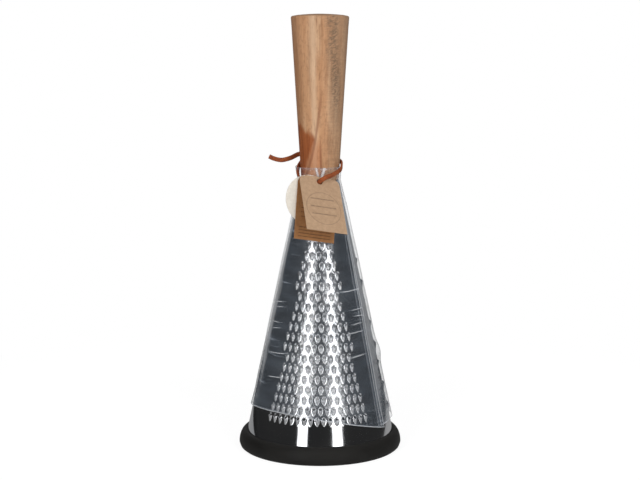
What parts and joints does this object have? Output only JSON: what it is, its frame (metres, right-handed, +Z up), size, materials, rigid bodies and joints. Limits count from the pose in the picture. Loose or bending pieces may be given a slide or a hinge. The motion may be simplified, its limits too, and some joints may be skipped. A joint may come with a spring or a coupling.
{
  "type": "conical cheese grater",
  "caption": "Conical steel hand grater with punched teeth, turned wooden handle, rubber foot ring, clear film sleeve and card tags on a leather lace.",
  "frame": {"origin": "centre of the foot ring's sole, on the axis of the cone", "axes": "+Z up along the axis, -Y towards the front with the tags"},
  "size_m": [0.114, 0.114, 0.301],
  "materials": {
    "wood": "oiled, satin",
    "steel": "mirror polished sheet",
    "zinc": "zinc plated",
    "rubber": "matt",
    "film": "clear, slightly wrinkled",
    "leather": "matt, cut edges",
    "kraft": "uncoated card",
    "cream": "uncoated card"
  },
  "bodies": {
    "grater": {"handle": "wood", "grater_cone": "steel", "top_plate": "steel", "screw_washer": "zinc", "handle_screw": "zinc", "foot_ring": "rubber", "film_sleeve": "film"},
    "tie": {"lace_loop": "leather", "lace_knot": "leather", "lace_long_tail": "leather", "lace_short_tail": "leather"},
    "round_card": {"round_tag": "cream"},
    "folded_card": {"folded_tag_back": "kraft"},
    "folded_card_cover": {"folded_tag_front": "kraft"}
  },
  "joints": [
    {"name": "tie_turn", "type": "hinge", "parent": "grater", "child": "tie", "pos_m": [0, 0, 0.195], "axis": [0, 0, 1], "continuous": true},
    {"name": "round_tag_swing", "type": "hinge", "parent": "tie", "child": "round_card", "pos_m": [-0.0019, -0.0198, 0.187], "axis": [0.4392, -0.8733, 0.2109], "range_deg": [-30, 50]},
    {"name": "folded_tag_swing", "type": "hinge", "parent": "tie", "child": "folded_card", "pos_m": [-0.0019, -0.0198, 0.187], "axis": [0.4392, -0.8733, 0.2109], "range_deg": [-15, 16]},
    {"name": "folded_tag_open", "type": "hinge", "parent": "folded_card", "child": "folded_card_cover", "pos_m": [-0.00088, -0.02047, 0.19065], "axis": [-0.8958, -0.4079, 0.1765], "range_deg": [-24, 9]}
  ]
}
